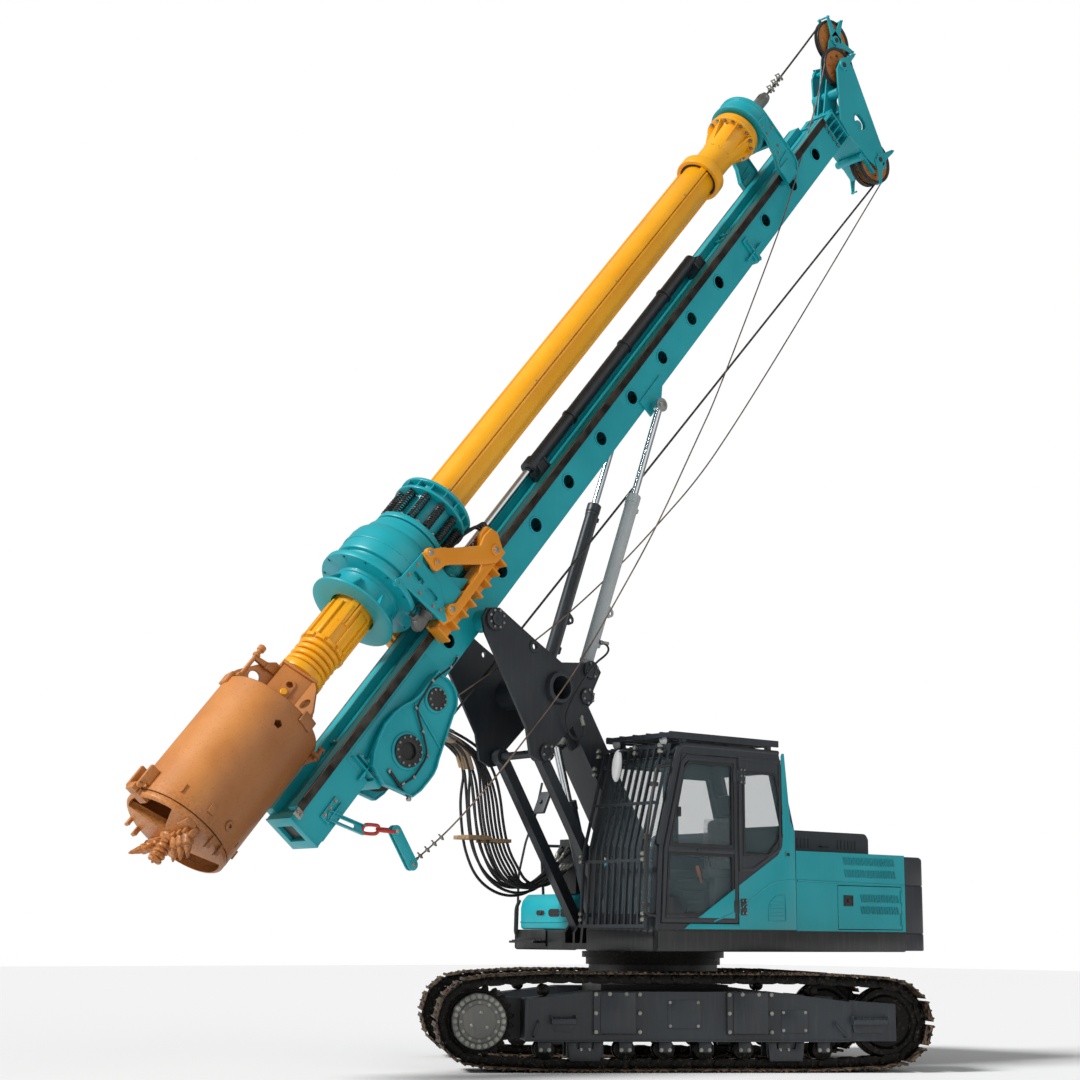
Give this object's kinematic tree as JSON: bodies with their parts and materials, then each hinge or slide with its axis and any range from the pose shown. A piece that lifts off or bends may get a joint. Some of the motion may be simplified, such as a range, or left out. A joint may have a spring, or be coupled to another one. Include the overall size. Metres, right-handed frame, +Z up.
{
  "type": "rotary piling rig",
  "caption": "Crawler rotary piling rig with a leaning lattice-free box mast, kelly bar, rotary drive, drilling bucket, cab and slewing upper.",
  "frame": {"origin": "on the ground under the slewing axis", "axes": "+X forward of the slewing upper, +Y to its left, +Z up; the tracks are turned 33 degrees clockwise under the upper"},
  "size_m": [9.9899, 5.1522, 12.3593],
  "materials": {
    "teal_paint": "gloss enamel",
    "dark_paint": "satin enamel",
    "yellow_paint": "gloss enamel",
    "orange_paint": "gloss enamel",
    "bucket_paint": "worn enamel over steel",
    "pulley_paint": "worn enamel",
    "track_steel": "dirty forged steel",
    "rail_steel": "worn greased steel",
    "chrome_rod": "hard chrome",
    "cab_glass": "clear tinted",
    "hose_rubber": "matt",
    "clamp_board": "matt",
    "seat_plastic": "matt",
    "rope_drum": "oiled"
  },
  "bodies": {
    "undercarriage": {"track_left": "track_steel", "track_right": "track_steel", "side_frame_left": "dark_paint", "side_frame_right": "dark_paint", "sprockets": "track_steel", "idlers": "track_steel", "track_rollers": "track_steel", "carrier_rollers": "track_steel", "centre_frame": "dark_paint", "slewing_ring": "track_steel"},
    "upper": {"upper_frame": "dark_paint", "cab_shell": "dark_paint", "cab_windows": "cab_glass", "cab_interior": "seat_plastic", "front_guard": "dark_paint", "roof_guard": "dark_paint", "left_housing": "teal_paint", "right_housing": "teal_paint", "engine_block": "dark_paint", "counterweight": "dark_paint", "front_box": "teal_paint", "hose_1": "hose_rubber", "hose_2": "hose_rubber", "hose_3": "hose_rubber", "hose_4": "hose_rubber", "hose_clamp": "clamp_board", "hose_stand": "dark_paint"},
    "cab_door": {"cab_door": "dark_paint", "door_windows": "cab_glass"},
    "left_service_door": {"left_service_door": "teal_paint"},
    "right_service_door": {"right_service_door": "teal_paint"},
    "engine_hood": {"engine_hood": "dark_paint"},
    "boom_arm": {"boom_arm": "dark_paint"},
    "boom_links": {"boom_links": "dark_paint"},
    "triangle": {"triangle_frame": "dark_paint"},
    "luff_cylinder": {"luff_cylinder": "dark_paint"},
    "luff_rod": {"luff_rod": "chrome_rod"},
    "mast": {"mast_box": "teal_paint", "mast_rails": "rail_steel", "winch_housing": "teal_paint", "mast_head": "teal_paint", "crowd_cylinder": "dark_paint"},
    "main_winch_drum": {"main_winch_drum": "rope_drum"},
    "aux_winch_drum": {"aux_winch_drum": "rope_drum"},
    "main_top_pulley": {"main_top_pulley": "pulley_paint"},
    "aux_top_pulley": {"aux_top_pulley": "pulley_paint"},
    "main_rear_pulley": {"main_rear_pulley": "pulley_paint"},
    "aux_rear_pulley": {"aux_rear_pulley": "pulley_paint"},
    "mast_cylinders": {"mast_cylinders": "dark_paint"},
    "mast_cylinder_rods": {"mast_cylinder_rods": "chrome_rod"},
    "rotary_drive": {"drive_carriage": "orange_paint", "drive_housing": "teal_paint", "drive_frame": "teal_paint", "drive_motors": "teal_paint", "crowd_rod": "chrome_rod"},
    "kelly_guide": {"kelly_guide": "teal_paint"},
    "kelly": {"kelly_bar": "yellow_paint", "drilling_bucket": "bucket_paint"},
    "bucket_floor": {"bucket_floor": "bucket_paint"}
  },
  "joints": [
    {"name": "slew", "type": "hinge", "parent": "undercarriage", "child": "upper", "pos_m": [0, 0, 1.1225], "axis": [0, 0, 1], "continuous": true},
    {"name": "cab_door_hinge", "type": "hinge", "parent": "upper", "child": "cab_door", "pos_m": [0.145, 1.39, 2.2], "axis": [0, 0, 1], "range_deg": [0, 105]},
    {"name": "left_service_door_hinge", "type": "hinge", "parent": "upper", "child": "left_service_door", "pos_m": [-2.28, 1.39, 1.74], "axis": [0, 0, 1], "range_deg": [0, 110]},
    {"name": "right_service_door_hinge", "type": "hinge", "parent": "upper", "child": "right_service_door", "pos_m": [-2.28, -1.39, 1.74], "axis": [0, 0, -1], "range_deg": [0, 110]},
    {"name": "engine_hood_hinge", "type": "hinge", "parent": "upper", "child": "engine_hood", "pos_m": [-0.85, 0, 2.136], "axis": [0, 1, 0], "range_deg": [0, 55]},
    {"name": "boom_luff", "type": "hinge", "parent": "upper", "child": "boom_arm", "pos_m": [0.2, 0, 1.89], "axis": [0, 1, 0], "range_deg": [-15, 35]},
    {"name": "link_swing", "type": "hinge", "parent": "upper", "child": "boom_links", "pos_m": [0.72, 0, 1.3], "axis": [0, 1, 0], "range_deg": [-15, 35]},
    {"name": "triangle_level", "type": "hinge", "parent": "boom_arm", "child": "triangle", "pos_m": [1.27, 0, 3.62], "axis": [0, 1, 0], "range_deg": [-35, 15]},
    {"name": "luff_cylinder_swing", "type": "hinge", "parent": "upper", "child": "luff_cylinder", "pos_m": [0.8, 0, 1.4], "axis": [0, 1, 0], "range_deg": [-14, 32]},
    {"name": "luff_rod_slide", "type": "slide", "parent": "luff_cylinder", "child": "luff_rod", "axis": [0.2807, 0, 0.9598], "range_m": [-0.475, 0.205]},
    {"name": "mast_tilt", "type": "hinge", "parent": "triangle", "child": "mast", "pos_m": [2.45, 0, 4.28], "axis": [0, 1, 0], "range_deg": [-50, 40]},
    {"name": "mast_cylinder_swing", "type": "hinge", "parent": "triangle", "child": "mast_cylinders", "pos_m": [1.22, 0, 3.89], "axis": [0, 1, 0], "range_deg": [-56, 45]},
    {"name": "mast_rod_slide", "type": "slide", "parent": "mast_cylinders", "child": "mast_cylinder_rods", "axis": [-0.3392, 0, 0.9407], "range_m": [-1.03, 0.825]},
    {"name": "main_winch", "type": "hinge", "parent": "mast", "child": "main_winch_drum", "pos_m": [3.38407, 0, 2.94902], "axis": [0, 1, 0], "continuous": true},
    {"name": "aux_winch", "type": "hinge", "parent": "mast", "child": "aux_winch_drum", "pos_m": [3.05968, 0, 3.46007], "axis": [0, 1, 0], "continuous": true},
    {"name": "main_top_pulley_spin", "type": "hinge", "parent": "mast", "child": "main_top_pulley", "pos_m": [-3.05008, 0, 12.07931], "axis": [0, 1, 0], "continuous": true},
    {"name": "aux_top_pulley_spin", "type": "hinge", "parent": "mast", "child": "aux_top_pulley", "pos_m": [-3.00112, 0.12, 11.6896], "axis": [0, 1, 0], "continuous": true},
    {"name": "main_rear_pulley_spin", "type": "hinge", "parent": "mast", "child": "main_rear_pulley", "pos_m": [-3.62389, 0, 10.63182], "axis": [0, 1, 0], "continuous": true},
    {"name": "aux_rear_pulley_spin", "type": "hinge", "parent": "mast", "child": "aux_rear_pulley", "pos_m": [-3.62389, 0.12, 10.63182], "axis": [0, 1, 0], "continuous": true},
    {"name": "crowd", "type": "slide", "parent": "mast", "child": "rotary_drive", "axis": [-0.6428, 0, 0.766], "range_m": [-2.2, 0.85]},
    {"name": "kelly_hoist", "type": "slide", "parent": "rotary_drive", "child": "kelly_guide", "axis": [0.6428, 0, -0.766], "range_m": [-0.1, 5.5]},
    {"name": "kelly_spin", "type": "hinge", "parent": "kelly_guide", "child": "kelly", "pos_m": [3.24669, 0, 4.9485], "axis": [-0.6428, 0, 0.766], "continuous": true},
    {"name": "bucket_floor_hinge", "type": "hinge", "parent": "kelly", "child": "bucket_floor", "pos_m": [6.03272, 0, 2.515], "axis": [0, -1, 0], "range_deg": [0, 75]}
  ],
  "couplings": [
    {"joint": "link_swing", "follows": "boom_luff", "ratio": 1},
    {"joint": "triangle_level", "follows": "boom_luff", "ratio": -1},
    {"joint": "luff_cylinder_swing", "follows": "boom_luff", "ratio": 0.8894},
    {"joint": "luff_rod_slide", "follows": "boom_luff", "m_per_rad": -0.7676},
    {"joint": "mast_cylinder_swing", "follows": "mast_tilt", "ratio": 1.1034},
    {"joint": "mast_rod_slide", "follows": "mast_tilt", "m_per_rad": 1.1746}
  ]
}
